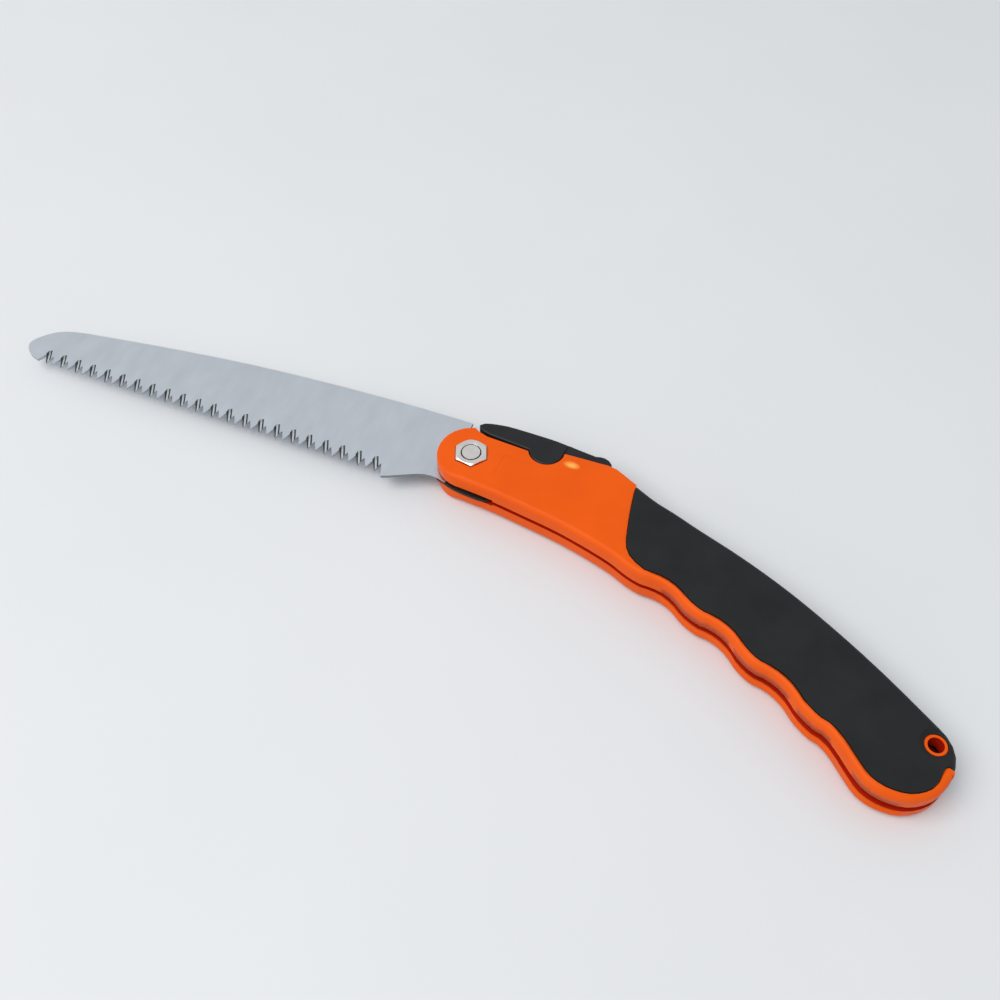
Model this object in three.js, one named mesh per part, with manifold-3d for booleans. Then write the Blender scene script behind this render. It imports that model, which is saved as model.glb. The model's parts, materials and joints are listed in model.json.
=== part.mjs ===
// Folding pruning saw, open, lying on its side. Millimetres.
// +X runs from the blade tip to the handle, +Y to the spine side, +Z up through the pivot.
// While it is drawn, the pivot axis is the origin and z = 0 is the middle of the blade.
// At the end the whole saw is moved so that its box stands centred on the origin at z = 0.

import * as THREE from 'three';
import { mergeVertices } from 'three/addons/utils/BufferGeometryUtils.js';
import Module from 'manifold-3d';

const wasm = await Module();
wasm.setup();

// ---- driving dimensions ----------------------------------------------------------------
const GAP = 0.3;                 // clearance kept between neighbouring pieces
const DEG = Math.PI / 180;

const BLADE_HALF = 0.7;          // half of the blade's thickness
const SLOT_HALF = 1.05;          // half of the slot between the two shells
const TAIL_SLOT_HALF = 1.95;     // half of the slot's mouth at the tail, where it widens
const SHELL_TOP = 8.0;           // outer face of a shell, from the middle plane
const EDGE_ROUND = 0.8;          // edge rounding of a shell round its nose and along the spine
const BELLY_ROUND = 2.4;         // and along its belly
const GRIP_TOP = 8.6;            // outer face of a rubber grip
const GRIP_ROUND = 3.4;          // edge rounding of a rubber grip
const GRIP_SEAT = 6.5;           // face of the shell under the rubber
const SPINE_SEAT = 2.2;          // how far the shell is set in under the rubber along the spine
const BELLY_MARGIN = 2.4;        // orange strip left between the rubber and the belly

const BOLT_R = 4.0;              // M8 pivot bolt
const BORE_R = 4.35;             // its bores in the shells, bush, washers and nut
const NUT_FLATS = 13.0;          // M8 nut across flats
const NUT_TOP = 9.0;
const NUT_BOTTOM = 4.8;
const NUT_SEAT = 3.6;            // floor of the hexagonal pocket
const NUT_TURN = -8;             // degrees that the nut is turned by
const HEAD_R = 7.0;              // bolt head
const HEAD_FACE = -8.3;
const HEAD_SEAT = -4.6;
const BUSH_R = 5.7;
const TANG_BORE_R = 6.05;
const PIVOT_RECESS_R = 22.6;     // round recess for the tang in each shell
const PIVOT_RECESS = 1.9;        // its floor, from the middle plane
const WASHER_R = 11;

const TOOTH_COUNT = 43;
const TOOTH_PITCH = 4.036;
const FIRST_TIP_X = -207;
const TOOTH_TIP_Y = -18.6;
const GULLET_Y = -14.3;
const TOOTH_BACK = 2.58;         // how far a gullet lies ahead of its tooth's tip
const HEEL = [-33.4, -20.6];

const NOSE_R = 14.6;             // round front end of the handle
const RIM_R = 20.5;              // round rim of the tang that the pawl rides on
const RIM_END = -51;             // degrees: where the rim meets the tang's lower edge
const NOTCH = [50, 60.5];        // degrees: the notch that the pawl drops into
const NOTCH_R = 18.5;
const RIM_START = 68;            // degrees: front end of the rim
const NECK_R = 13;
const FOLD_ANGLE = 157;          // degrees from open to folded
const TOOTH_CLEARANCE = 1.2;     // room between the folded teeth and the back spacer

const LEVER_PIN = [29.2, 13.5];
const LOBE_R = 7.5;
const LEVER_HALF = 7.9;          // half width of the lever's front
const TAIL_HALF = 6.6;           // half width of its rear end, between the shell walls
const TAIL_BOTTOM = 12.5;
const CHANNEL_FLOOR = 9.2;
const PIN_R = 1.8;
const TONGUE_R = 3.9;            // shell tongues that carry the lever pin
const TONGUE_HALF = 3.0;
const PAWL = { from: 51.8, to: 58.9, low: 20.7, high: 22.3, half: 5.5 };
const LEVER_SWING = 1.0;         // room for the lever's drop onto the rim

const SPRING_X = 50;
const SPRING_FLOOR = 3.6;
const SPRING_R = 2.0;
const SPRING_WIRE_R = 0.35;
const SPRING_TURNS = 5;
const SPRING_POCKET_R = 2.7;

const HANG_HOLE = [202.5, -60];
const HANG_R = 3.0;
const HANG_BOSS_R = 4.0;
const HANG_TOP = 7.2;            // face of the ring, sunk a little below the rubber
const HANG_DISH_R = 6.4;         // the rubber slopes down to the ring from here

const SCREWS = [[63.5, 7], [96, -9], [130, -22], [163, -38], [188, -49.5]];
const SCREW_R = 1.4;
const SCREW_HEAD_R = 2.8;
const SCREW_SEAT = -4.4;
const SCREW_HEAD_FACE = -6.3;
const SCREW_END = 5.0;

const orange = { color: 0xed6216, roughness: 0.42, metalness: 0 };
const rubber = { color: 0x2c2e30, roughness: 0.75, metalness: 0 };
const black = { color: 0x302e36, roughness: 0.5, metalness: 0 };
const saw = { color: 0xafb9c1, roughness: 0.35, metalness: 0.9 };
const zinc = { color: 0xc8c8be, roughness: 0.3, metalness: 0.9 };
const nylon = { color: 0xe6e2d6, roughness: 0.6, metalness: 0 };

// ---- solids -----------------------------------------------------------------------------
function solid(geometry) {
  const bare = geometry.index ? geometry.toNonIndexed() : geometry.clone();
  bare.deleteAttribute('normal');
  bare.deleteAttribute('uv');
  const merged = mergeVertices(bare, 1e-4);
  return new wasm.Manifold(new wasm.Mesh({
    numProp: 3,
    vertProperties: new Float32Array(merged.attributes.position.array),
    triVerts: new Uint32Array(merged.index.array),
  }));
}

function piece(name, body, look) {
  const mesh = body.getMesh();
  const geometry = new THREE.BufferGeometry();
  geometry.setAttribute('position', new THREE.BufferAttribute(mesh.vertProperties, 3));
  geometry.setIndex(new THREE.BufferAttribute(mesh.triVerts, 1));
  geometry.computeVertexNormals();
  const made = new THREE.Mesh(geometry, new THREE.MeshStandardMaterial(look));
  made.name = name;
  return made;
}

const toVectors = (points) => points.map(([x, y]) => new THREE.Vector2(x, y));

function prism(points, low, high) {
  const shape = new THREE.Shape(toVectors(points));
  const geometry = new THREE.ExtrudeGeometry(shape, { depth: high - low, bevelEnabled: false });
  geometry.translate(0, 0, low);
  return solid(geometry);
}

// A plate between -half and +half whose outer edges are rounded.
function slab(points, half, round, steps = 3) {
  const shape = new THREE.Shape(toVectors(points));
  const geometry = new THREE.ExtrudeGeometry(shape, {
    depth: 2 * (half - round),
    bevelThickness: round,
    bevelSize: round,
    bevelOffset: -round,
    bevelSegments: steps,
  });
  geometry.translate(0, 0, round - half);
  return solid(geometry);
}

function rod([x, y], radius, low, high, sides = 32) {
  const geometry = new THREE.CylinderGeometry(radius, radius, high - low, sides);
  geometry.rotateX(Math.PI / 2);
  geometry.translate(x, y, (low + high) / 2);
  return solid(geometry);
}

// ---- plane curves -----------------------------------------------------------------------
const polar = (radius, degrees) => [radius * Math.cos(degrees * DEG), radius * Math.sin(degrees * DEG)];

function arc([cx, cy], radius, from, to, steps) {
  const points = [];
  for (let i = 0; i <= steps; i += 1) {
    const [x, y] = polar(radius, from + ((to - from) * i) / steps);
    points.push([cx + x, cy + y]);
  }
  return points;
}

function smooth(points, spacing) {
  const curve = new THREE.SplineCurve(toVectors(points));
  const steps = Math.max(2, Math.round(curve.getLength() / spacing));
  return curve.getSpacedPoints(steps).map((p) => [p.x, p.y]);
}

// Moves an open run of points to its left by a distance.
function offset(points, distance) {
  return points.map((point, i) => {
    const [ax, ay] = points[Math.max(0, i - 1)];
    const [bx, by] = points[Math.min(points.length - 1, i + 1)];
    const length = Math.hypot(bx - ax, by - ay);
    return [point[0] - ((by - ay) / length) * distance, point[1] + ((bx - ax) / length) * distance];
  });
}

// ---- outline of the handle --------------------------------------------------------------
// Crests between the finger grooves, and the shape of one groove between two crests:
// share of the way along, and depth square to it.
const CRESTS = [[86, -31.4], [111.5, -40.8], [136, -53.2], [161.5, -67.2]];
const GROOVE = [[0.13, 1.4], [0.31, 2.45], [0.51, 2.2], [0.75, 0.35]];

function fingerGrooves() {
  const points = [CRESTS[0]];
  for (let i = 1; i < CRESTS.length; i += 1) {
    const [ax, ay] = CRESTS[i - 1];
    const [bx, by] = CRESTS[i];
    const length = Math.hypot(bx - ax, by - ay);
    for (const [share, depth] of GROOVE) {
      points.push([
        ax + (bx - ax) * share - ((by - ay) / length) * depth,
        ay + (by - ay) * share + ((bx - ax) / length) * depth,
      ]);
    }
    points.push(CRESTS[i]);
  }
  return points;
}

const belly = smooth([
  [1, -14.6], [15.6, -15.7], [27.9, -17.3], [48.3, -20.4], [68.8, -25.5], [79.1, -29.6],
  ...fingerGrooves(),
  [166.4, -68.7], [171.2, -72.5], [176.3, -77.7], [181.4, -82.3], [186.6, -84.4], [191.8, -84.9],
  [197, -84.2], [201.8, -81.9], [205.8, -78.3], [208.4, -74.2], [209.8, -70],
], 3.2);

const spine = smooth([
  [210.4, -65.6], [209.7, -60.4], [206.6, -55.5], [201, -51.3], [180.4, -37.9], [160.2, -26.2],
  [140, -16], [119.9, -7.7], [99.9, -0.9], [90, 2.7], [81.5, 5.4], [76, 7.7],
  [72.8, 9.3], [69.6, 10.7], [66, 12.4], [62.1, 14.3], [57.9, 15.8], [52, 15.6], [46, 15.4], [36.3, 14.9],
], 4);

const noseFront = arc([0, 0], NOSE_R, 90, 265, 16);
const handleOutline = [...noseFront, ...belly, ...spine];

// ---- edge of the rubber -----------------------------------------------------------------
const gripFront = smooth([
  [70.7, 22], [70.2, 9], [71.9, -4.3], [73.9, -14.3], [75.3, -20], [77.6, -24], [81.5, -26.9],
], 4);
const isGripBelly = ([x, y]) => x > 85 && !(x > 200 && y > -76);
const gripBelly = offset(belly, BELLY_MARGIN).filter(isGripBelly);
const gripEnd = [[205.5, -73.6], [206.1, -70.2], [206.7, -68], [207.8, -67.2], [209.2, -67.7], [213, -70]];
const outsideTail = [225, -70];
const outsideSpine = [[222, -50], [205, -35], [120, 12], [90, 22]];

// The area that the rubber covers, made smaller by a margin.
function gripArea(margin) {
  const edge = offset([...gripFront, ...gripBelly, ...gripEnd], margin);
  return [...edge, [outsideTail[0], outsideTail[1] + margin], ...outsideSpine];
}

// The band along the spine where the rubber wraps round the shell.
function spineBand(depth) {
  const inner = offset(spine, depth).filter(([x]) => x > 62);
  return [[220, -72], [inner[0][0], -72], ...inner, [60, 30], [100, 30], ...[...outsideSpine].reverse()];
}

// The space that the rubber takes on both sides of the handle, made smaller by a margin.
function gripCover(margin) {
  const area = gripArea(margin);
  const band = prism(spineBand(SPINE_SEAT - margin), -12, 12).intersect(prism(area, -12, 12));
  return band
    .add(prism(area, GRIP_SEAT + margin, 12))
    .add(prism(area, -12, -GRIP_SEAT - margin));
}

// ---- blade ------------------------------------------------------------------------------
function bladeTeeth() {
  const points = [HEEL];
  for (let i = TOOTH_COUNT - 1; i >= 0; i -= 1) {
    const tip = FIRST_TIP_X + i * TOOTH_PITCH;
    if (i === TOOTH_COUNT - 1) points.push([tip + TOOTH_PITCH - TOOTH_BACK, GULLET_Y]);
    points.push([tip, TOOTH_TIP_Y]);
    points.push([tip - TOOTH_BACK, GULLET_Y]);
  }
  return points;
}

function blade() {
  const nose = smooth([
    [-211.6, -18.4], [-216.4, -16.9], [-220.2, -13.7], [-221.6, -10], [-218.9, -5.2],
    [-214.5, -0.7], [-208.5, 2.4], [-200, 4.4],
  ], 2.5);
  const back = smooth([[-200, 4.4], [-160, 10.6], [-120, 15.7], [-80, 19], [-40, 20.9], [-8.3, 21.4]], 12);
  const neck = arc([0, 0], NECK_R, 129.7, RIM_START, 6);
  const frontRim = arc([0, 0], RIM_R, RIM_START, NOTCH[1], 2);
  const notch = arc([0, 0], NOTCH_R, NOTCH[1], NOTCH[0], 2);
  const rim = arc([0, 0], RIM_R, NOTCH[0], RIM_END, 20);
  const heelCurve = smooth([[9.6, -16.3], [3, -15.9], [-3.4, -14.9], [-8, -13.4], [-12, -12.4],
    [-17, -12.9], [-22, -15], [-26, -17.1], [-30, -19.1]], 3);
  const outline = [...bladeTeeth(), ...nose, ...back.slice(1), ...neck, ...frontRim, ...notch,
    ...rim, ...heelCurve];
  return prism(outline, -BLADE_HALF, BLADE_HALF).subtract(rod([0, 0], TANG_BORE_R, -2, 2));
}

// ---- lock lever -------------------------------------------------------------------------
const leverFront = [
  ...smooth([[3, 12.7], [-0.6, 13.7], [-2.7, 15.2], [-2.6, 16.9], [-0.2, 18.5], [5, 19.7],
    [11.5, 20.4], [29.6, 20.4], [36.5, 19.8]], 2.5).reverse(),
  [20, 11.4],
  ...arc(LEVER_PIN, LOBE_R, 197, 350, 12),
];
const leverTail = [
  [33.9, TAIL_BOTTOM], [56.6, TAIL_BOTTOM],
  ...smooth([[57.6, 14], [57.6, 16.8], [55.7, 19.2], [52.6, 20.2], [49.4, 19.5]], 2),
  [42, 20.2], [38, 20.7], [33.9, 20.8],
];

function lockLever() {
  const [px, py] = LEVER_PIN;
  const tongueRoom = rod(LEVER_PIN, TONGUE_R + 0.4, -TONGUE_HALF - GAP, TONGUE_HALF + GAP)
    .add(prism([[px - 4.3, py], [px - 5, 0], [px + 5, 0], [px + 4.3, py]],
      -TONGUE_HALF - GAP, TONGUE_HALF + GAP));
  const tangRoom = rod([0, 0], RIM_R + 0.5 + LEVER_SWING, -SLOT_HALF - 0.1, SLOT_HALF + 0.1, 64);
  return slab([...leverFront].reverse(), LEVER_HALF, 0.9, 2)
    .add(slab(leverTail, TAIL_HALF, 0.7, 2))
    .subtract(tongueRoom)
    .subtract(tangRoom)
    .subtract(rod(LEVER_PIN, PIN_R + GAP, -7.2, 7.2))
    .subtract(pawlBar(GAP));
}

function pawlBar(margin) {
  const turn = margin / PAWL.low / DEG;
  const outline = [
    polar(PAWL.low - margin, PAWL.from - turn), polar(PAWL.high + margin, PAWL.from - turn),
    polar(PAWL.high + margin, PAWL.to + turn), polar(PAWL.low - margin, PAWL.to + turn),
  ];
  return prism(outline, -PAWL.half - margin, PAWL.half + margin);
}

function leverSpring() {
  const points = [];
  const steps = SPRING_TURNS * 10;
  const low = SPRING_FLOOR + GAP + SPRING_WIRE_R;
  const rise = TAIL_BOTTOM - GAP - SPRING_WIRE_R - low;
  for (let i = 0; i <= steps; i += 1) {
    const turn = (2 * Math.PI * SPRING_TURNS * i) / steps;
    points.push(new THREE.Vector3(
      SPRING_X + SPRING_R * Math.cos(turn), low + (rise * i) / steps, SPRING_R * Math.sin(turn)));
  }
  const wire = new THREE.Shape(toVectors(arc([0, 0], SPRING_WIRE_R, 0, 300, 5)));
  const path = new THREE.CatmullRomCurve3(points);
  return solid(new THREE.ExtrudeGeometry(wire, { steps, extrudePath: path, bevelEnabled: false }));
}

// ---- shells -----------------------------------------------------------------------------
// The opening for the lever: along its underside, round its lobe, and the channel for its tail.
function leverRoom() {
  const outline = [
    [-3.9, 30], [-3.9, 13.8], [-1.4, 12.3], [3, 11], [20, 10.3],
    ...arc(LEVER_PIN, LOBE_R + 0.4, 205, 352, 12),
    [37, 30],
  ];
  const channel = [[34, CHANNEL_FLOOR], [58.5, CHANNEL_FLOOR], [58.5, 30], [34, 30]];
  return prism(outline, -10, 10).add(prism(channel, -TAIL_HALF - GAP, TAIL_HALF + GAP));
}

function shellTongues() {
  const [px, py] = LEVER_PIN;
  const neck = [[px - TONGUE_R, py], [px - TONGUE_R, 4], [px + TONGUE_R, 4], [px + TONGUE_R, py]];
  return prism(neck, -TONGUE_HALF, TONGUE_HALF).add(rod(LEVER_PIN, TONGUE_R, -TONGUE_HALF, TONGUE_HALF));
}

function springPocket() {
  const pocket = new THREE.CylinderGeometry(SPRING_POCKET_R, SPRING_POCKET_R, 8, 20);
  pocket.translate(SPRING_X, SPRING_FLOOR + 4, 0);
  return solid(pocket);
}

function hexagon(flats, turn = 0) {
  return arc([0, 0], flats / Math.sqrt(3), turn, turn + 300, 5);
}

const nutOutline = (flats) => hexagon(flats, NUT_TURN);

// The handle's outline, and a larger one that only keeps to its belly, for the belly's softer edge.
const bellySide = [...belly, [260, -69], [260, 60], [-60, 60], [-60, -14.6]];

// The slot's mouth widens evenly from the grooves to the tail.
function slotMouth() {
  const [thin, thick] = [SLOT_HALF, TAIL_SLOT_HALF];
  const section = [[90, -thin], [205, -thick], [260, -thick], [260, thick], [205, thick], [90, thin]];
  const wedge = prism(section, -60, 120).rotate([90, 0, 0]);
  const strip = belly.filter(([x]) => x > 90);
  return prism([...strip, ...offset(strip, 7).reverse()], -4, 4).intersect(wedge);
}

// Both shells in one block, before the slot is cut out of it.
function shellBlock() {
  return slab(handleOutline, SHELL_TOP, EDGE_ROUND)
    .intersect(slab(bellySide, SHELL_TOP, BELLY_ROUND, 5))
    .subtract(leverRoom())
    .add(shellTongues())
    .subtract(springPocket())
    .subtract(rod(LEVER_PIN, PIN_R + GAP, -10, 10))
    .subtract(rod([0, 0], BORE_R, -10, 10))
    .subtract(rod([0, 0], PIVOT_RECESS_R, -PIVOT_RECESS, PIVOT_RECESS, 64))
    .subtract(gripCover(0))
    .add(rod(HANG_HOLE, HANG_BOSS_R, -HANG_TOP, HANG_TOP))
    .subtract(slotMouth())
    .subtract(rod(HANG_HOLE, HANG_R, -12, 12, 24));
}

function shell(block, side) {
  const half = side > 0 ? [SLOT_HALF, 12] : [-12, -SLOT_HALF];
  const square = [[-60, -120], [240, -120], [240, 60], [-60, 60]];
  let body = block.intersect(prism(square, half[0], half[1]));
  if (side > 0) {
    body = body.subtract(prism(nutOutline(NUT_FLATS + 2 * GAP), NUT_SEAT, 12));
  } else {
    body = body.subtract(rod([0, 0], HEAD_R + GAP, -12, HEAD_SEAT + GAP));
  }
  for (const place of SCREWS) {
    body = body.subtract(rod(place, SCREW_R + GAP, -12, SCREW_END + GAP, 16));
    if (side < 0) {
      body = body.subtract(rod(place, SCREW_HEAD_R + GAP, -12, SCREW_SEAT + GAP, 24));
    }
  }
  return body;
}

function grip(side) {
  const low = SLOT_HALF + GAP;
  const square = [[60, -120], [240, -120], [240, 60], [60, 60]];
  const half = side > 0 ? [low, 12] : [-12, -low];
  let body = slab(handleOutline, GRIP_TOP, GRIP_ROUND, 5)
    .intersect(prism(square, half[0], half[1]))
    .intersect(gripCover(GAP))
    .subtract(rod(HANG_HOLE, HANG_BOSS_R + GAP, -12, 12))
    .subtract(hangDish(side));
  if (side < 0) {
    for (const place of SCREWS.slice(1)) {
      body = body.subtract(rod(place, SCREW_HEAD_R + GAP, -12, 0, 24));
    }
  }
  return body;
}

// Slope of the rubber round the hang hole's ring.
function hangDish(side) {
  const [deep, high] = [HANG_TOP + 0.2, GRIP_TOP + 0.4];
  const cone = new THREE.CylinderGeometry(HANG_DISH_R + 0.4, HANG_BOSS_R + GAP, high - deep, 32);
  cone.rotateX(side * Math.PI / 2);
  cone.translate(HANG_HOLE[0], HANG_HOLE[1], side * (deep + high) / 2);
  return solid(cone);
}

// Plate in the slot along the spine. Its lower edge lies just above the folded blade's teeth.
function backSpacer() {
  const [sin, cos] = [Math.sin(FOLD_ANGLE * DEG), -Math.cos(FOLD_ANGLE * DEG)];
  const reach = TOOTH_CLEARANCE - TOOTH_TIP_Y;
  const lowerEdge = (x) => [x, (reach - sin * x) / cos];
  const upper = offset(spine, 0.9).filter(([x]) => x > 60 && x < 209);
  const seat = SPRING_POCKET_R + 0.4;
  const outline = [
    lowerEdge(42), lowerEdge(206), [209.6, -65.5], ...upper, [59.2, CHANNEL_FLOOR - GAP],
    [SPRING_X + seat, CHANNEL_FLOOR - GAP], [SPRING_X + seat, SPRING_FLOOR - GAP],
    [SPRING_X - seat, SPRING_FLOOR - GAP], [SPRING_X - seat, CHANNEL_FLOOR - GAP],
    [42, CHANNEL_FLOOR - GAP],
  ];
  let body = prism(outline, GAP - SLOT_HALF, SLOT_HALF - GAP).subtract(rod(HANG_HOLE, HANG_R, -2, 2, 24));
  for (const place of SCREWS) body = body.subtract(rod(place, SCREW_R + GAP, -2, 2, 16));
  return body;
}

// ---- pivot and fasteners ----------------------------------------------------------------
function ring(outer, inner, low, high) {
  return rod([0, 0], outer, low, high, 40).subtract(rod([0, 0], inner, -20, 20));
}

function turned(profile, sides = 32) {
  const geometry = new THREE.LatheGeometry(toVectors(profile), sides);
  geometry.rotateX(Math.PI / 2);
  return solid(geometry);
}

function pivotBolt() {
  const end = NUT_TOP - 0.1;
  return turned([[0, HEAD_FACE], [HEAD_R - 1, HEAD_FACE], [HEAD_R, HEAD_FACE + 1], [HEAD_R, HEAD_SEAT],
    [BOLT_R, HEAD_SEAT], [BOLT_R, end - 0.5], [BOLT_R - 0.5, end], [0, end]])
    .subtract(prism(hexagon(5), -10, HEAD_FACE + 2.4));
}

function pivotNut() {
  const chamfer = turned([[0, NUT_BOTTOM], [7.4, NUT_BOTTOM], [7.4, NUT_TOP - 0.6], [6.4, NUT_TOP],
    [0, NUT_TOP]], 48);
  return prism(nutOutline(NUT_FLATS), NUT_BOTTOM, NUT_TOP).intersect(chamfer)
    .subtract(rod([0, 0], BORE_R, 0, 12));
}

function shellScrew([x, y]) {
  const head = turned([[0, SCREW_HEAD_FACE], [SCREW_HEAD_R - 0.5, SCREW_HEAD_FACE],
    [SCREW_HEAD_R, SCREW_HEAD_FACE + 0.5], [SCREW_HEAD_R, SCREW_SEAT], [SCREW_R, SCREW_SEAT],
    [SCREW_R, SCREW_END - 0.6], [SCREW_R - 0.5, SCREW_END], [0, SCREW_END]], 20);
  return head.subtract(prism(hexagon(2.4), -10, SCREW_HEAD_FACE + 1.2)).translate([x, y, 0]);
}

// ---- assembly ---------------------------------------------------------------------------
const block = shellBlock();
const foldingSaw = new THREE.Group();
foldingSaw.add(
  piece('blade', blade(), saw),
  piece('upper_shell', shell(block, 1), orange),
  piece('lower_shell', shell(block, -1), orange),
  piece('upper_grip', grip(1), rubber),
  piece('lower_grip', grip(-1), rubber),
  piece('back_spacer', backSpacer(), black),
  piece('lock_lever', lockLever(), black),
  piece('lock_pawl', pawlBar(0), zinc),
  piece('lever_pin', rod(LEVER_PIN, PIN_R, -6.9, 6.9, 24), zinc),
  piece('lever_spring', leverSpring(), zinc),
  piece('pivot_bolt', pivotBolt(), zinc),
  piece('pivot_nut', pivotNut(), zinc),
  piece('pivot_bush', ring(BUSH_R, BORE_R, GAP - PIVOT_RECESS, PIVOT_RECESS - GAP), zinc),
  piece('nut_washer', ring(6.4, BORE_R, NUT_SEAT + GAP, NUT_BOTTOM - GAP), zinc),
  piece('thrust_washer_upper', ring(WASHER_R, TANG_BORE_R, 1, PIVOT_RECESS - GAP), nylon),
  piece('thrust_washer_lower', ring(WASHER_R, TANG_BORE_R, GAP - PIVOT_RECESS, -1), nylon),
);
SCREWS.forEach((place, i) => foldingSaw.add(piece(`shell_screw_${i + 1}`, shellScrew(place), zinc)));

const box = new THREE.Box3().setFromObject(foldingSaw, true);
const centre = box.getCenter(new THREE.Vector3());
foldingSaw.position.set(-centre.x, -centre.y, -box.min.z);

export default foldingSaw;
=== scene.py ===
"""Looks of the folding pruning saw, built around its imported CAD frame. Metres, Z up."""

import json
import math

import bmesh
import bpy
from mathutils import Matrix, Vector


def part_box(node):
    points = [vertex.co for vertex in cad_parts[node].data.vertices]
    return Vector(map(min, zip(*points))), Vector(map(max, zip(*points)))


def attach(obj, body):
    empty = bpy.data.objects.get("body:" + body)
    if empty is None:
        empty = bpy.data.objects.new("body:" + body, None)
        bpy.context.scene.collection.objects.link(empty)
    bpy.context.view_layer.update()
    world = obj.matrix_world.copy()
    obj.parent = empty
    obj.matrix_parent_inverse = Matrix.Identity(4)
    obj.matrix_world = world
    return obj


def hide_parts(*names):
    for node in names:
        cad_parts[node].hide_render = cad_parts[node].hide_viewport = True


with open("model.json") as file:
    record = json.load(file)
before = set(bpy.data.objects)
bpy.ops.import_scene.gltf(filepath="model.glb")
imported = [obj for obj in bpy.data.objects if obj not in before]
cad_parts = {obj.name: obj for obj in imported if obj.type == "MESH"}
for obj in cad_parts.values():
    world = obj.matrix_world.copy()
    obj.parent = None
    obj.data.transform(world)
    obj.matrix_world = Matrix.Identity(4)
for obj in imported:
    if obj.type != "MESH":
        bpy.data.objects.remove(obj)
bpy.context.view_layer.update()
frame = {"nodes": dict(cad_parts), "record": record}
MM = 0.001

joints = {joint["name"]: joint for joint in frame["record"]["behaviour"]["joints"]}
PIVOT = Vector(joints["blade_fold"]["pos_m"])
NUT_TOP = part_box("pivot_nut")[1][2]
BODY_OF = {
    node: body for body, nodes in frame["record"]["behaviour"]["bodies"].items() for node in nodes
}
SLOT_OF = {row["node"]: row["material_slot"] for row in frame["record"]["subparts"]}

# ---- camera: beside the teeth, looking down; its foot is given from the pivot ----------------
CAMERA_FOOT = (119.4 * MM, -260.9 * MM)
CAMERA_RISE = 346.3 * MM
CAMERA_TILT = 37.0
CAMERA_TURN = 22.14
CAMERA_LENS = 38.17
CAMERA_SENSOR = 36
CAMERA_CLIP = 10 * MM

# ---- studio ----------------------------------------------------------------------------------
TABLE_HALF = 3.0
TABLE_DROP = 0.1 * MM
SKY_COLOUR = (0.965, 0.98, 1.0, 1)
SKY_STRENGTH = 0.60
SOFTBOX_PLACE = Vector((-0.8, -0.8, 1.9))
SOFTBOX_SIZE = 1.6
SOFTBOX_POWER = 31
SOFTBOX_COLOUR = (1.0, 0.985, 0.96)

# ---- directions of faces, by how much their normals point up or down -------------------------
WALL_Z = 0.1
SIDE_Z = 0.5
FLAT_Z = 0.99

# ---- blade, from the pivot -------------------------------------------------------------------
BLADE_HALF = 0.7 * MM
BLADE_CREASE = 20
TOOTH_COUNT = 43
TOOTH_PITCH = 4.036 * MM
FIRST_TIP = Vector((-207.0 * MM, -18.6 * MM, 0))
# The teeth's edges lie below this height and on the tip's side of the heel.
GULLET_Y = -14.2 * MM
HEEL_X = -33.5 * MM
# The blade's edges past this place are the tang's.
TANG_X = -10 * MM
# The band of painted shade on the tang, where its face shows beside the shell: its two radii and, in
# degrees, its two ends.
TANG_BAND_R = (13.2 * MM, 23 * MM)
TANG_BAND = (-116, -38)
TANG_BAND_STEPS = 16
TANG_BAND_DEPTH = 0.08 * MM
# The blade's materials, in order: satin steel, the flutes' ground steel with a painted highlight,
# near-black steel as painted shade on the flutes' walls, sheared and filed edges, and near-black
# steel as painted shade on the tang.
SATIN, FLUTE_PAINTED_HIGHLIGHT, FLUTE_PAINTED_SHADE, SHEARED, FILED, TANG_PAINTED_SHADE = range(6)
# One ground flute across its width, in mm: distance from the tooth's tip, height over the middle
# plane, and the material of the facet that starts there: painted shade on both walls, a painted
# highlight on the floor between them, satin steel elsewhere.
FLUTE = [
    (-0.8, 0.76, FLUTE_PAINTED_SHADE),
    (0.3, 0.1, FLUTE_PAINTED_HIGHLIGHT),
    (1.15, 0.3, FLUTE_PAINTED_SHADE),
    (2.05, 0.76, SATIN),
    (2.05, 1.4, SATIN),
    (-0.8, 1.4, SATIN),
]
FLUTE_LEAN = 25.3
# How far each cross-section lies from the tip, in mm. At the last one the flute has run out: its
# points below the first height, which is clear of the blade, are lifted to the second.
FLUTE_RUN = (-2.0, 5.6, 7.6)
FLUTE_CLEAR = 0.76
FLUTE_OUT = 0.78

# ---- handle, from the pivot ------------------------------------------------------------------
SHELL_TOP = 8.0 * MM
SLOT_MOUTH = 2.0 * MM
HANG_HOLE = Vector((202.5, -60.0)) * MM
HANG_R = 3.1 * MM
GRIP_ROUND = 0.45 * MM
# The shells' materials, in order: the plain orange, a darker orange painted as shade in the slot and
# on the hang hole's wall, and the dimple's orange with a painted highlight.
OUTSIDE, SLOT_PAINTED_SHADE, PAINTED_HIGHLIGHT = range(3)
PANEL_PLACE = Vector((20.9, -1.3, 0)) * MM
PANEL_HALF = Vector((7.7, 5.4)) * MM
PANEL_CORNER = 1.2 * MM
PANEL_TURN = -4
PANEL_DEPTH = 0.10 * MM
DIMPLE_PLACE = Vector((41.7, 9.9, 8.9)) * MM
DIMPLE_SIZE = Vector((6.2, 3.2, 1.2)) * MM
DIMPLE_TURN = -6
# Half-axes of the painted highlight over the dimple.
DIMPLE_PAINTED_HIGHLIGHT = Vector((4.2, 2.2, 3.0)) * MM
# How far a cutter stands over the face that it cuts.
CUTTER_RISE = 2 * MM

# ---- pivot -----------------------------------------------------------------------------------
# The bolt's CAD chamfer has its two rings within these distances of the end.
END_RING = 0.1 * MM
FOOT_RING = 0.6 * MM
CAD_CHAMFER_R = 3.5 * MM
FINE_CHAMFER_R = 3.8 * MM
FINE_CHAMFER = 0.2 * MM
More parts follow.
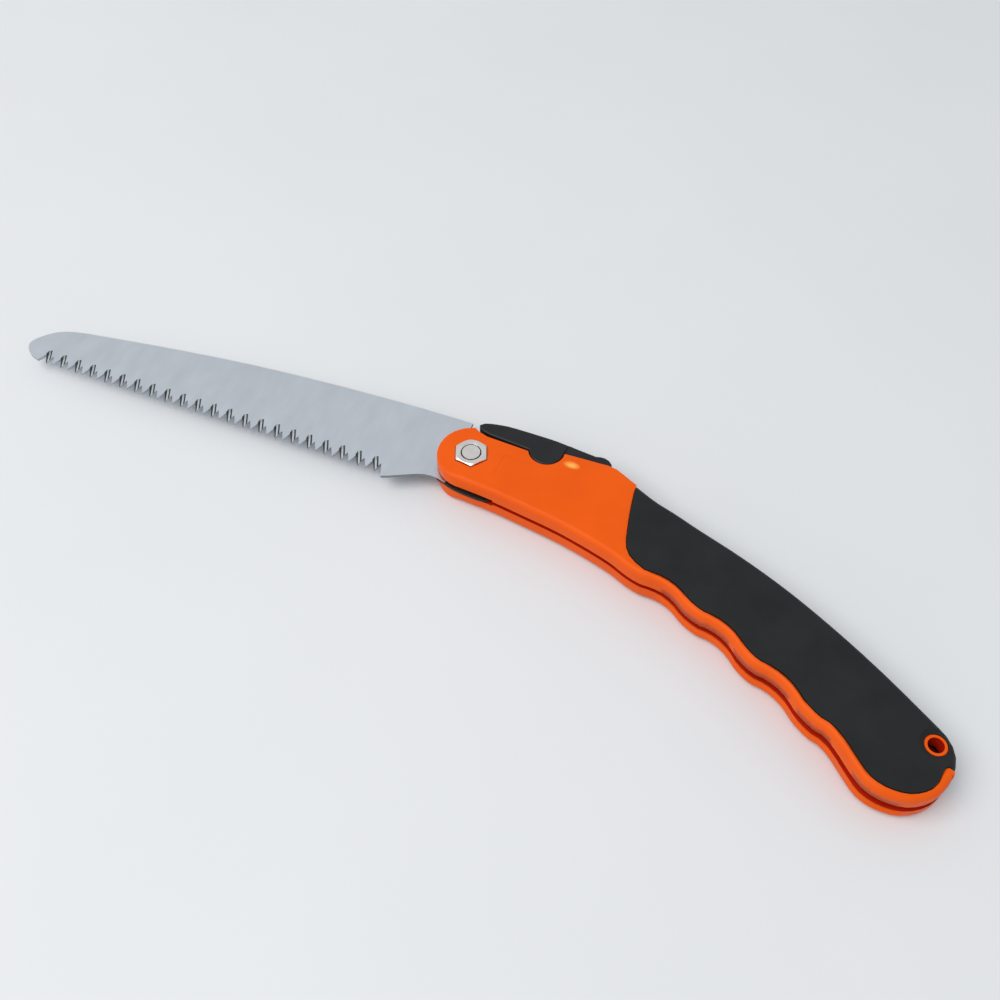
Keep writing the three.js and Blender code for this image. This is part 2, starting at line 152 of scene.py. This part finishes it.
# The nut's countersink: radius, and height over the nut's top face, in mm.
COUNTERSINK = [(4.1, -0.6), (4.65, 0.0), (4.65, 1.0)]
COUNTERSINK_STEPS = 48


# ---- node materials --------------------------------------------------------------------------
class Look:
    """A Principled material with procedural textures in the object's own space."""

    def __init__(self, name, rough, metal=0.0, gloss=0.5):
        self.material = bpy.data.materials.new(name)
        self.material.use_nodes = True
        self.tree = self.material.node_tree
        self.shader = self.tree.nodes["Principled BSDF"]
        self.shader.inputs["Metallic"].default_value = metal
        self.shader.inputs["Roughness"].default_value = rough
        self.shader.inputs["Specular IOR Level"].default_value = gloss
        self.place = self.tree.nodes.new("ShaderNodeTexCoord").outputs["Object"]
        self.bumps = None

    def noise(self, scale, stretch=(1, 1, 1), detail=3.0, rough=0.55):
        mapping = self.tree.nodes.new("ShaderNodeMapping")
        mapping.inputs["Scale"].default_value = [scale * part for part in stretch]
        self.tree.links.new(self.place, mapping.inputs["Vector"])
        noise = self.tree.nodes.new("ShaderNodeTexNoise")
        noise.inputs["Scale"].default_value = 1.0
        noise.inputs["Detail"].default_value = detail
        noise.inputs["Roughness"].default_value = rough
        self.tree.links.new(mapping.outputs["Vector"], noise.inputs["Vector"])
        return noise.outputs["Fac"]

    def halo(self, centre, size):
        """1 at the centre of an ellipsoid, falling to 0 at its surface."""
        mapping = self.tree.nodes.new("ShaderNodeMapping")
        mapping.vector_type = "TEXTURE"
        mapping.inputs["Location"].default_value = centre
        mapping.inputs["Scale"].default_value = size
        self.tree.links.new(self.place, mapping.inputs["Vector"])
        gradient = self.tree.nodes.new("ShaderNodeTexGradient")
        gradient.gradient_type = "SPHERICAL"
        self.tree.links.new(mapping.outputs["Vector"], gradient.inputs["Vector"])
        return gradient.outputs["Fac"]

    def colour(self, value, dark, light, low=0.35, high=0.65):
        """The base colour, which goes from dark to light as the value goes from low to high."""
        ramp = self.tree.nodes.new("ShaderNodeValToRGB")
        stops = ((low, dark), (high, light))
        for element, (position, tone) in zip(ramp.color_ramp.elements, stops):
            element.position = position
            element.color = (*tone, 1)
        self.tree.links.new(value, ramp.inputs["Fac"])
        self.tree.links.new(ramp.outputs["Color"], self.shader.inputs["Base Color"])

    def roughness(self, value, low, high):
        span = self.tree.nodes.new("ShaderNodeMapRange")
        span.inputs["From Min"].default_value = 0.3
        span.inputs["From Max"].default_value = 0.7
        span.inputs["To Min"].default_value = low
        span.inputs["To Max"].default_value = high
        self.tree.links.new(value, span.inputs["Value"])
        self.tree.links.new(span.outputs["Result"], self.shader.inputs["Roughness"])

    def bump(self, value, depth):
        """Relief on top of any that the material already has."""
        bump = self.tree.nodes.new("ShaderNodeBump")
        bump.inputs["Distance"].default_value = depth
        bump.inputs["Strength"].default_value = 1.0
        self.tree.links.new(value, bump.inputs["Height"])
        if self.bumps:
            self.tree.links.new(self.bumps, bump.inputs["Normal"])
        self.bumps = bump.outputs["Normal"]
        self.tree.links.new(self.bumps, self.shader.inputs["Normal"])


def moulded(name, rough, grain, depth, gloss):
    """A moulded surface, still without its colour: fine grain over slow waves."""
    look = Look(name, rough, gloss=gloss)
    look.roughness(look.noise(240), rough - 0.05, rough + 0.06)
    look.bump(look.noise(grain, detail=2), depth)
    look.bump(look.noise(90, detail=1), 0.06 * MM)
    return look


def plastic(name, dark, light, rough, grain, depth, gloss=0.5):
    look = moulded(name, rough, grain, depth, gloss)
    look.colour(look.noise(55, detail=4), dark, light)
    return look


def painted_highlight_look(name):
    """The dimple's orange, with a painted highlight that is brightest at its middle."""
    look = moulded(name, rough=0.36, grain=2600, depth=0.02 * MM, gloss=0.12)
    middle = PIVOT + Vector((DIMPLE_PLACE.x, DIMPLE_PLACE.y, SHELL_TOP))
    painted_spot = look.halo(middle, DIMPLE_PAINTED_HIGHLIGHT)
    look.colour(painted_spot, (0.83, 0.105, 0.004), (1.0, 0.46, 0.09), 0.05, 0.75)
    return look


def metal(name, dark, light, rough, stretch=(1, 1, 1), scale=60, depth=0.004 * MM):
    """Roughness goes between the two values of rough; the grain is stretched along an axis."""
    look = Look(name, rough[0], metal=1.0)
    look.colour(look.noise(scale, stretch, detail=5, rough=0.6), dark, light)
    look.roughness(look.noise(scale * 3, stretch, detail=4), *rough)
    look.bump(look.noise(scale * 30, stretch, detail=2), depth)
    return look


orange = plastic(
    "orange_plastic", (0.80, 0.098, 0.003), (0.85, 0.108, 0.004),
    rough=0.42, grain=2600, depth=0.025 * MM, gloss=0.12,
)
# A darker orange: painted shade on the walls inside the slot and the hang hole.
orange_painted_shade = plastic(
    "orange_slot_painted_shade", (0.42, 0.010, 0.001), (0.50, 0.016, 0.002),
    rough=0.5, grain=2600, depth=0.025 * MM, gloss=0.1,
)
# The dimple's orange, with a painted highlight at its middle.
orange_with_painted_highlight = painted_highlight_look("orange_painted_highlight")
rubber = plastic(
    "grip_rubber", (0.0098, 0.0108, 0.0120), (0.0140, 0.0152, 0.0167),
    rough=0.60, grain=2200, depth=0.05 * MM, gloss=0.25,
)
nylon_black = plastic(
    "black_nylon", (0.0105, 0.0108, 0.0130), (0.0150, 0.0153, 0.0180),
    rough=0.40, grain=3000, depth=0.02 * MM, gloss=0.3,
)
nylon_natural = plastic(
    "natural_nylon", (0.70, 0.67, 0.58), (0.80, 0.77, 0.69),
    rough=0.50, grain=2400, depth=0.02 * MM,
)
steel = metal(
    "satin_steel", (0.69, 0.745, 0.81), (0.74, 0.795, 0.86), (0.32, 0.40), (1.4, 0.5, 1)
)
steel_edge = metal(
    "sheared_steel", (0.20, 0.22, 0.24), (0.27, 0.29, 0.31), (0.38, 0.50), (1, 1, 6), 90
)
steel_filed = metal(
    "filed_steel", (0.42, 0.45, 0.49), (0.52, 0.55, 0.59), (0.34, 0.46), (1, 1, 6), 90
)
# Near-black steel: painted shade on the tang's edges and on the band of its face beside the shell.
steel_painted_shade = metal(
    "dark_steel_painted_shade", (0.035, 0.033, 0.030), (0.055, 0.052, 0.048), (0.45, 0.60), (1, 1, 6), 90
)
# The flutes' floor: its low roughness is the grind's own, its lighter colour a painted highlight.
ground_with_painted_highlight = metal(
    "flute_steel_painted_highlight", (0.78, 0.80, 0.82), (0.88, 0.90, 0.91), (0.16, 0.26), (1, 4, 1), 300
)
# Near-black steel: painted shade on the flutes' walls.
ground_painted_shade = metal(
    "flute_steel_painted_shade", (0.055, 0.06, 0.07), (0.10, 0.108, 0.12), (0.36, 0.50), (1, 4, 1), 300
)
zinc = metal(
    "zinc_plate", (0.88, 0.855, 0.81), (0.96, 0.935, 0.90), (0.24, 0.36), scale=220, depth=0.008 * MM
)

BLADE_LOOKS = (steel, ground_with_painted_highlight, ground_painted_shade, steel_edge, steel_filed, steel_painted_shade)
SHELL_LOOKS = (orange, orange_painted_shade, orange_with_painted_highlight)
LOOKS = {
    "shell_orange": orange,
    "grip_rubber": rubber,
    "lever_black": nylon_black,
    "blade_steel": steel,
    "fastener_zinc": zinc,
    "washer_nylon": nylon_natural,
}


# ---- meshes -----------------------------------------------------------------------------------
def mesh_object(name, bm, *looks):
    mesh = bpy.data.meshes.new(name)
    bm.to_mesh(mesh)
    bm.free()
    for look in looks:
        mesh.materials.append(look.material)
    obj = bpy.data.objects.new(name, mesh)
    bpy.context.collection.objects.link(obj)
    return obj


def clean_copy(node):
    """The CAD node's shape as a bmesh, with its vertices merged and no marks of its own."""
    bm = bmesh.new()
    bm.from_mesh(frame["nodes"][node].data)
    bmesh.ops.remove_doubles(bm, verts=bm.verts, dist=0.002 * MM)
    for layer in list(bm.loops.layers.uv.values()):
        bm.loops.layers.uv.remove(layer)
    for face in bm.faces:
        face.material_index = 0
        face.smooth = True
    return bm


def whole_faces(bm):
    """Joins the triangles of each flat face."""
    bmesh.ops.dissolve_limit(bm, angle_limit=math.radians(0.5), verts=bm.verts, edges=bm.edges)


def loft(bm, rings):
    """A closed solid through rings of vertices: its side faces, ring by ring, then its ends."""
    faces = []
    for first, second in zip(rings, rings[1:]):
        for i in range(len(first)):
            j = (i + 1) % len(first)
            faces.append(bm.faces.new((first[i], first[j], second[j], second[i])))
    return faces + [bm.faces.new(rings[0]), bm.faces.new(rings[-1])]


def shade(obj, crease=32):
    """Smooth over rounded edges, crisp over the others, and true on flat faces."""
    mesh = obj.data
    for polygon in mesh.polygons:
        polygon.use_smooth = True
    mesh.set_sharp_from_angle(angle=math.radians(crease))
    modifier = obj.modifiers.new("flat_faces", "WEIGHTED_NORMAL")
    modifier.keep_sharp = True
    modifier.weight = 50


def cut(obj, cutter):
    modifier = obj.modifiers.new("cut", "BOOLEAN")
    modifier.operation = "DIFFERENCE"
    modifier.solver = "EXACT"
    modifier.material_mode = "INDEX"
    modifier.object = cutter
    graph = bpy.context.evaluated_depsgraph_get()
    mesh = bpy.data.meshes.new_from_object(obj.evaluated_get(graph), depsgraph=graph)
    obj.modifiers.clear()
    obj.data = mesh
    bpy.data.objects.remove(cutter)


def finished(obj, node):
    """The piece stands for this CAD node: it moves with the node's body, and the node is hidden."""
    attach(obj, BODY_OF[node])
    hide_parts(node)


# ---- blade --------------------------------------------------------------------------------------
def add_flute(bm, tip, side):
    """One ground flute's cutter, over the tooth's tip, on the upper (1) or lower (-1) face."""
    lean = math.radians(FLUTE_LEAN)
    along = Vector((-math.sin(lean), math.cos(lean), 0))
    across = Vector((math.cos(lean), math.sin(lean), 0))
    rings = []
    for reach in FLUTE_RUN:
        ring = []
        for width, height, _ in FLUTE:
            if reach == FLUTE_RUN[-1] and height < FLUTE_CLEAR:
                height = FLUTE_OUT
            point = tip + along * reach * MM + across * width * MM
            ring.append(bm.verts.new(point + Vector((0, 0, side * height * MM))))
        rings.append(ring)
    facets = loft(bm, rings)[:-2]
    for i, facet in enumerate(facets):
        facet_look = FLUTE[i % len(FLUTE)][2]
        # At the run-out, the floor's facet takes the darker sheared steel instead, as painted shade.
        runout_painted_shade = facet_look == FLUTE_PAINTED_HIGHLIGHT and i >= len(facets) - len(FLUTE)
        facet.material_index = SHEARED if runout_painted_shade else facet_look


def add_tang_band(bm):
    """A shallow cut along the part of the tang's upper face that shows beside the shell, whose faces
    take near-black steel as painted shade.
    """
    low, high = [], []
    start, end = TANG_BAND
    there = range(TANG_BAND_STEPS + 1)
    for radius, steps in zip(TANG_BAND_R, (there, reversed(there))):
        for step in steps:
            turn = math.radians(start + (end - start) * step / TANG_BAND_STEPS)
            x, y = PIVOT.x + radius * math.cos(turn), PIVOT.y + radius * math.sin(turn)
            low.append(bm.verts.new((x, y, PIVOT.z + BLADE_HALF - TANG_BAND_DEPTH)))
            high.append(bm.verts.new((x, y, PIVOT.z + CUTTER_RISE)))
    for face in loft(bm, [low, high]):
        face.material_index = TANG_PAINTED_SHADE


def build_blade():
    bm = clean_copy("blade")
    for face in bm.faces:
        if abs(face.normal.z) < SIDE_Z:
            place = face.calc_center_median() - PIVOT
            is_tooth = place.x < HEEL_X and place.y < GULLET_Y
            # Edges past TANG_X, deep in the handle's slot, take the near-black steel as painted
            # shade.
            face.material_index = FILED if is_tooth else TANG_PAINTED_SHADE if place.x > TANG_X else SHEARED
    blade = mesh_object("saw_blade", bm, *BLADE_LOOKS)
    cutters = bmesh.new()
    for i in range(TOOTH_COUNT):
        tip = PIVOT + FIRST_TIP + Vector((i * TOOTH_PITCH, 0, 0))
        add_flute(cutters, tip, 1 if i % 2 == 0 else -1)
    add_tang_band(cutters)
    bmesh.ops.recalc_face_normals(cutters, faces=cutters.faces)
    cut(blade, mesh_object("flutes", cutters, *BLADE_LOOKS))
    blade.data.set_sharp_from_angle(angle=math.radians(BLADE_CREASE))
    for polygon in blade.data.polygons:
        is_edge = polygon.material_index in (SHEARED, FILED, TANG_PAINTED_SHADE)
        polygon.use_smooth = is_edge and abs(polygon.normal.z) < SIDE_Z
    finished(blade, "blade")


# ---- handle -------------------------------------------------------------------------------------
def panel_cutter():
    """A blank sunk panel beside the nut, with rounded corners."""
    centre = PIVOT + PANEL_PLACE
    bm = bmesh.new()
    ring = []
    for sx, sy, start in ((1, 1, 0), (-1, 1, 90), (-1, -1, 180), (1, -1, 270)):
        for step in range(5):
            angle = math.radians(start + 22.5 * step)
            x = centre.x + sx * (PANEL_HALF.x - PANEL_CORNER) + PANEL_CORNER * math.cos(angle)
            y = centre.y + sy * (PANEL_HALF.y - PANEL_CORNER) + PANEL_CORNER * math.sin(angle)
            ring.append(bm.verts.new((x, y, PIVOT.z + SHELL_TOP - PANEL_DEPTH)))
    face = bm.faces.new(ring)
    made = bmesh.ops.extrude_face_region(bm, geom=[face])
    tops = [item for item in made["geom"] if isinstance(item, bmesh.types.BMVert)]
    bmesh.ops.translate(bm, verts=tops, vec=(0, 0, CUTTER_RISE))
    turn = Matrix.Rotation(math.radians(PANEL_TURN), 3, "Z")
    bmesh.ops.rotate(bm, verts=bm.verts, cent=centre, matrix=turn)
    bmesh.ops.recalc_face_normals(bm, faces=bm.faces)
    return mesh_object("panel", bm, orange)


def dimple_cutter():
    """A shallow dimple beside the lever's lobe, whose faces take the orange with a painted
    highlight.
    """
    bm = bmesh.new()
    bmesh.ops.create_icosphere(bm, subdivisions=4, radius=1.0)
    bmesh.ops.scale(bm, vec=DIMPLE_SIZE, verts=bm.verts)
    turn = Matrix.Rotation(math.radians(DIMPLE_TURN), 3, "Z")
    bmesh.ops.rotate(bm, matrix=turn, verts=bm.verts)
    bmesh.ops.translate(bm, vec=PIVOT + DIMPLE_PLACE, verts=bm.verts)
    for face in bm.faces:
        face.material_index = PAINTED_HIGHLIGHT
    return mesh_object("dimple", bm, *SHELL_LOOKS)


def build_shell(node):
    bm = clean_copy(node)
    whole_faces(bm)
    for face in bm.faces:
        place = face.calc_center_median() - PIVOT
        in_slot = abs(place.z) < SLOT_MOUTH
        in_hole = abs(face.normal.z) < WALL_Z and (place.xy - HANG_HOLE).length < HANG_R
        # Faces in the slot and on the hang hole's wall get the darker orange as painted shade.
        face.material_index = SLOT_PAINTED_SHADE if in_slot or in_hole else OUTSIDE
    shell = mesh_object("moulded_" + node, bm, *SHELL_LOOKS)
    if node == "upper_shell":
        cut(shell, dimple_cutter())
        cut(shell, panel_cutter())
    shade(shell)
    finished(shell, node)


def is_rim(edge):
    """An edge between a grip's flat outer face and the wall that meets the shell."""
    if len(edge.link_faces) != 2:
        return False
    turns = sorted(abs(face.normal.z) for face in edge.link_faces)
    outer = max(abs(vert.co.z - PIVOT.z) for vert in edge.verts)
    return turns[0] < WALL_Z and turns[1] > FLAT_Z and outer > SHELL_TOP and edge.is_convex


def build_grip(node):
    bm = clean_copy(node)
    whole_faces(bm)
    rim = [edge for edge in bm.edges if is_rim(edge)]
    bmesh.ops.bevel(
        bm, geom=rim, offset=GRIP_ROUND, segments=3, profile=0.5, affect="EDGES", clamp_overlap=True
    )
    grip = mesh_object("rubber_" + node, bm, rubber)
    shade(grip)
    finished(grip, node)


def build_lever():
    bm = clean_copy("lock_lever")
    whole_faces(bm)
    lever = mesh_object("nylon_lever", bm, nylon_black)
    shade(lever, crease=40)
    finished(lever, "lock_lever")


# ---- pivot --------------------------------------------------------------------------------------
def build_bolt():
    """The bolt, with a finer chamfer at its nut end."""
    bm = clean_copy("pivot_bolt")
    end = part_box("pivot_bolt")[1][2]
    widen = FINE_CHAMFER_R / CAD_CHAMFER_R
    for vert in bm.verts:
        drop = end - vert.co.z
        if drop < END_RING:
            vert.co.x = PIVOT.x + (vert.co.x - PIVOT.x) * widen
            vert.co.y = PIVOT.y + (vert.co.y - PIVOT.y) * widen
        elif drop < FOOT_RING:
            vert.co.z = end - FINE_CHAMFER
    whole_faces(bm)
    bolt = mesh_object("zinc_bolt", bm, zinc)
    shade(bolt)
    finished(bolt, "pivot_bolt")


def countersink_cutter():
    centre = Vector((PIVOT.x, PIVOT.y, NUT_TOP))
    bm = bmesh.new()
    rings = []
    for radius, height in COUNTERSINK:
        ring = []
        for i in range(COUNTERSINK_STEPS):
            angle = math.radians(360 / COUNTERSINK_STEPS * i)
            spot = Vector((radius * math.cos(angle), radius * math.sin(angle), height)) * MM
            ring.append(bm.verts.new(centre + spot))
        rings.append(ring)
    loft(bm, rings)
    bmesh.ops.recalc_face_normals(bm, faces=bm.faces)
    return mesh_object("countersink", bm, zinc)


def build_nut():
    """The nut, with its thread countersunk."""
    bm = clean_copy("pivot_nut")
    whole_faces(bm)
    nut = mesh_object("zinc_nut", bm, zinc)
    cut(nut, countersink_cutter())
    shade(nut, crease=25)
    finished(nut, "pivot_nut")


# ---- scene --------------------------------------------------------------------------------------
def place_camera():
    data = bpy.data.cameras.new("camera")
    data.lens = CAMERA_LENS
    data.sensor_width = CAMERA_SENSOR
    data.clip_start = CAMERA_CLIP
    obj = bpy.data.objects.new("camera", data)
    obj.location = (PIVOT.x + CAMERA_FOOT[0], PIVOT.y + CAMERA_FOOT[1], NUT_TOP + CAMERA_RISE)
    obj.rotation_euler = (math.radians(CAMERA_TILT), 0, math.radians(CAMERA_TURN))
    bpy.context.collection.objects.link(obj)
    bpy.context.scene.camera = obj


def lay_table():
    look = Look("pale_table", 0.55)
    look.colour(look.noise(6), (0.73, 0.75, 0.775), (0.745, 0.765, 0.79))
    look.bump(look.noise(700), 0.02 * MM)
    bm = bmesh.new()
    bmesh.ops.create_grid(bm, x_segments=2, y_segments=2, size=TABLE_HALF)
    obj = mesh_object("table", bm, look)
    obj.location.z = -TABLE_DROP


def light_sky():
    world = bpy.data.worlds.new("studio")
    world.use_nodes = True
    background = world.node_tree.nodes["Background"]
    background.inputs["Color"].default_value = SKY_COLOUR
    background.inputs["Strength"].default_value = SKY_STRENGTH
    bpy.context.scene.world = world


def light_softbox():
    """One large soft light, aimed at the middle of the saw."""
    data = bpy.data.lights.new("softbox", "AREA")
    data.size = SOFTBOX_SIZE
    data.energy = SOFTBOX_POWER
    data.color = SOFTBOX_COLOUR
    obj = bpy.data.objects.new("softbox", data)
    obj.location = SOFTBOX_PLACE
    obj.rotation_euler = (-SOFTBOX_PLACE).to_track_quat("-Z", "Y").to_euler()
    bpy.context.collection.objects.link(obj)


place_camera()
lay_table()
light_sky()
light_softbox()
bpy.context.scene.view_settings.view_transform = "Standard"

for name, slot in SLOT_OF.items():
    mesh = frame["nodes"][name].data
    mesh.materials.clear()
    mesh.materials.append(LOOKS[slot].material)
build_blade()
build_shell("upper_shell")
build_shell("lower_shell")
build_grip("upper_grip")
build_grip("lower_grip")
build_lever()
build_bolt()
build_nut()
